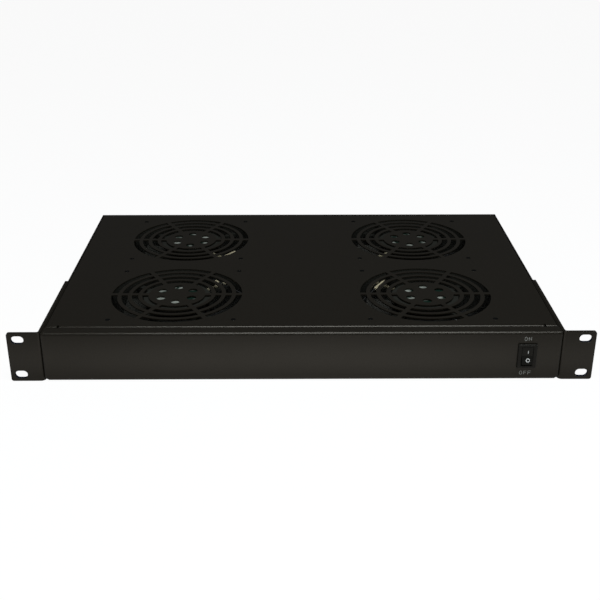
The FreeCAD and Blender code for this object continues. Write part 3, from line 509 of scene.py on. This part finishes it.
def add_hub_labels():
    """The foil label on each motor plate, which shows through the hub holes."""
    radius = 23.3 * MM
    for place in PLACES:
        frame_node = f"fan_frame_{place}"
        centre = middle(frame_node)
        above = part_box(frame_node)[1][2] + 1 * MM
        spot, _ = on_surface(frame_node, (centre.x, centre.y, above), (0, 0, -1))
        disc = revolved([(radius, 0.01 * MM), (radius, 0.10 * MM)], steps=72)
        piece(f"motor_label_{place}", as_mesh("motor_label", disc, spot), LABEL_FOIL, "tray")


# Each fan's lead crosses a corner of its bore this far below the cover's top. A pale sleeve lies on
# it from one point to another about the fan's centre, with a radius at each end, in millimetres.
LEAD_DEPTH = 3.4 * MM
LEAD_RADIUS = 0.5
BORE_RADIUS = 57.9
SLEEVES = (("front_right", (-43.0, 18.0), (-32.0, 39.5), 1.1, 0.6),
           ("rear_left", (45.5, -26.5), (33.0, -42.0), 1.0, 0.7),
           ("front_left", (31.0, 38.0), (35.0, 33.5), 0.7, 0.55),
           ("rear_right", (-33.0, -41.5), (-37.0, -39.0), 0.7, 0.55))


def sleeve_between(name, place, first, last, radii, material):
    """A round bar between two points of a fan's bore, with radii at its foot, shoulder and tip."""
    centre = middle(f"fan_frame_{place}")
    length = (last - first).length
    heights = (0.0, min(2.0, length / 2), length)
    profile = [(radius * MM, height * MM) for radius, height in zip(radii, heights)]
    spot = (centre.x + first.x * MM, centre.y + first.y * MM, COVER_TOP - LEAD_DEPTH)
    axis = (last - first).to_3d()
    piece(f"{name}_{place}", as_mesh(name, revolved(profile, steps=20), spot, axis), material, "tray")


def add_lead_ends():
    """The thin lead that crosses a corner of each fan's bore, and the pale sleeve on it."""
    for place, start, end, thick, thin in SLEEVES:
        foot, tip = Vector(start), Vector(end)
        along = (tip - foot).normalized()
        nearest = foot - along * foot.dot(along)
        half = math.sqrt(BORE_RADIUS ** 2 - nearest.length_squared)
        sleeve_between("lead_end", place, nearest - along * half, nearest + along * half,
                       (LEAD_RADIUS,) * 3, BLACK_SLEEVE)
        sleeve_between("lead_cuff", place, foot, tip, (thick, thick * 1.3, thin), TAN_SLEEVE)


# Each word's shift to the right of the switch's centre and its rise above it.
WORDS = (("print_on", "ON", -0.3 * MM, 15.4 * MM), ("print_off", "OFF", -0.2 * MM, -16.0 * MM))
AHEAD_OF_PANEL = -20 * MM


def add_switch_print():
    """ON and OFF on the panel, and the line and ring on the rocker."""
    centre = middle("switch_body")
    for name, words, shift, rise in WORDS:
        start = (centre.x + shift, AHEAD_OF_PANEL, centre.z + rise)
        spot, normal = on_surface("chassis_tray", start, (0, 1, 0))
        builder = lettering(words, width=2.1 * MM, height=3.1 * MM, step=3.5 * MM,
                            stroke=0.38 * MM)
        piece(name, as_mesh(name, builder, spot, normal), PRINT_GREY, "tray")
    line = block(0.6 * MM, 2.5 * MM, PRINT_FOOT, PRINT_TOP)
    ring = hoop((1.7 * MM, 1.7 * MM), (1.0 * MM, 1.0 * MM))
    for name, builder, rise in (("mark_on", line, 4.0 * MM), ("mark_off", ring, -3.0 * MM)):
        start = (centre.x + 0.45 * MM, AHEAD_OF_PANEL, centre.z + rise)
        spot, normal = on_surface("switch_rocker", start, (0, 1, 0))
        piece(name, as_mesh(name, builder, spot, normal), PRINT_WHITE, "rocker")


add_fan_screws()
add_side_screws()
add_slot_shade_sleeves()
add_hub_labels()
add_lead_ends()
add_switch_print()


# Studio ------------------------------------------------------------------------------------------

scene = bpy.context.scene
scene.view_settings.view_transform = "Standard"

# The floor's painted brightness in reflections, as (distance, level): out from the tray's front and
# rear walls, and across from its centre line.
# It is a painted pool of light just ahead of and behind the tray, with painted shade at the foot of
# the walls, far out, and towards the sides.
POOL_OUT = ((0.000, 0.72), (0.008, 0.66), (0.030, 1.15), (0.055, 1.22), (0.085, 0.50),
            (0.160, 0.08), (0.300, 0.05))
POOL_ACROSS = ((0.00, 1.00), (0.11, 0.93), (0.21, 0.66), (0.40, 0.60))
FLOOR_HALF_SIZE = 6.0
FLOOR_GAP = 0.2 * MM
# How much of what the floor shows is plain white. The rest is lit, and takes the tray's shadow.
# Under the tray all of it is lit, from this far inside the tray's outline.
FLOOR_GLOW = 0.94
UNDER_EDGE = 3 * MM
# The studio's upper part: its level as a light, and its dimmer level in reflections.
CEILING_LIGHT = 0.15
CEILING_SHINE = 0.055


def level_from(nodes, distance, stops):
    """A brightness that follows a distance through (distance, level) stops."""
    furthest = stops[-1][0]
    ramp = nodes.tree.nodes.new("ShaderNodeValToRGB")
    marks = ramp.color_ramp.elements
    while len(marks) < len(stops):
        marks.new(0.5)
    for mark, (place, level) in zip(marks, stops):
        mark.position = place / furthest
        mark.color = (level, level, level, 1)
    nodes.join(nodes.math("DIVIDE", distance, furthest), ramp.inputs["Fac"])
    return ramp.outputs["Color"]


def make_floor():
    """A pale floor that takes the shadow, seen as white, with a painted pool of light and shade in
    reflections.
    """
    builder = bmesh.new()
    bmesh.ops.create_grid(builder, x_segments=1, y_segments=1, size=FLOOR_HALF_SIZE)
    mesh = as_mesh("floor", builder, (0, 0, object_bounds()[0][2] - FLOOR_GAP))
    floor = bpy.data.objects.new("floor", mesh)
    bpy.context.collection.objects.link(floor)

    nodes = Nodes("floor_paper")
    nodes.shader.inputs["Base Color"].default_value = (0.8, 0.8, 0.8, 1)
    nodes.shader.inputs["Roughness"].default_value = 0.9
    path = nodes.tree.nodes.new("ShaderNodeLightPath")
    (left, front, _), (right, rear, _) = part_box("chassis_tray")
    out, beside = nodes.beyond("Y", front, rear), nodes.beyond("X", left, right)
    # Painted light: in reflections the floor's glow follows this painted pool of light and shade, not
    # the lamps.
    pool = nodes.math("MULTIPLY", level_from(nodes, out, POOL_OUT),
                      level_from(nodes, nodes.beyond("X", 0.0, 0.0), POOL_ACROSS))
    strength = nodes.tree.nodes.new("ShaderNodeMix")
    strength.inputs["A"].default_value = 1.0
    nodes.join(path.outputs["Is Glossy Ray"], strength.inputs["Factor"])
    nodes.join(pool, strength.inputs["B"])
    glow = nodes.tree.nodes.new("ShaderNodeEmission")
    nodes.join(strength.outputs["Result"], glow.inputs["Strength"])

    seen = path.outputs["Is Camera Ray"]
    for ray in ("Is Glossy Ray", "Is Transmission Ray"):
        seen = nodes.math("MAXIMUM", seen, path.outputs[ray])
    clear = nodes.math("GREATER_THAN", nodes.math("MAXIMUM", out, beside), -UNDER_EDGE)
    plain = nodes.math("MULTIPLY", nodes.math("MULTIPLY", seen, FLOOR_GLOW), clear)
    mix = nodes.tree.nodes.new("ShaderNodeMixShader")
    nodes.join(plain, mix.inputs["Fac"])
    nodes.join(nodes.shader.outputs["BSDF"], mix.inputs[1])
    nodes.join(glow.outputs["Emission"], mix.inputs[2])
    nodes.join(mix.outputs["Shader"], nodes.tree.nodes["Material Output"].inputs["Surface"])
    mesh.materials.append(nodes.material)


def make_world():
    """White for the camera, soft as a light, and dimmer still in reflections."""
    world = bpy.data.worlds.new("studio")
    world.use_nodes = True
    scene.world = world
    tree = world.node_tree
    background = tree.nodes["Background"]
    background.inputs["Color"].default_value = (1, 1, 1, 1)
    path = tree.nodes.new("ShaderNodeLightPath")
    level = None
    for ray, extra in (("Is Glossy Ray", CEILING_SHINE - CEILING_LIGHT),
                       ("Is Transmission Ray", 1.0 - CEILING_LIGHT),
                       ("Is Camera Ray", 1.0 - CEILING_LIGHT)):
        add = tree.nodes.new("ShaderNodeMath")
        add.operation = "MULTIPLY_ADD"
        add.inputs[1].default_value = extra
        add.inputs[2].default_value = CEILING_LIGHT
        tree.links.new(path.outputs[ray], add.inputs[0])
        if level:
            tree.links.new(level, add.inputs[2])
        level = add.outputs["Value"]
    tree.links.new(level, background.inputs["Strength"])


def area_lamp(name, place, target, width, height, power, colour=(1, 1, 1),
              in_reflections=True):
    """A rectangular softbox at place, aimed at target."""
    lamp = bpy.data.lights.new(name, "AREA")
    lamp.color = colour
    lamp.shape = "RECTANGLE"
    lamp.size = width
    lamp.size_y = height
    lamp.energy = power
    obj = bpy.data.objects.new(name, lamp)
    bpy.context.collection.objects.link(obj)
    obj.visible_glossy = in_reflections
    place = Vector(place)
    aim = (Vector(target) - place).to_track_quat("-Z", "Y")
    obj.matrix_world = Matrix.Translation(place) @ aim.to_matrix().to_4x4()


def make_lamps():
    """A soft key from the front, and an overhead softbox that draws the lines along the bends."""
    area_lamp("key", place=(-0.1, -1.75, 0.85), target=(0.0, 0.14, 0.0), width=0.9,
              height=0.35, power=4.0, in_reflections=False)
    area_lamp("overhead", place=(0.11, -0.45, 1.2), target=(0.05, -0.25, 0.0), width=0.88,
              height=0.8, power=21.9, colour=(0.93, 1.0, 1.06))


# The photograph's view: the camera's place, its pan, pitch and roll in radians, and its lens.
CAMERA_PLACE = (-0.008169, -0.705847, 0.370802)
CAMERA_PAN, CAMERA_PITCH, CAMERA_ROLL = -0.009064, -0.425240, -0.000904
CAMERA_LENS, CAMERA_SENSOR = 57.94, 36.0


def make_camera():
    camera_data = bpy.data.cameras.new("camera")
    camera_data.sensor_width = CAMERA_SENSOR
    camera_data.lens = CAMERA_LENS
    camera = bpy.data.objects.new("camera", camera_data)
    bpy.context.collection.objects.link(camera)
    turn = (Matrix.Rotation(CAMERA_PAN, 4, "Z") @ Matrix.Rotation(CAMERA_PITCH, 4, "X")
            @ Matrix.Rotation(CAMERA_ROLL, 4, "Y") @ Matrix.Rotation(math.pi / 2, 4, "X"))
    camera.matrix_world = Matrix.Translation(CAMERA_PLACE) @ turn
    scene.camera = camera


make_floor()
make_world()
make_camera()
make_lamps()
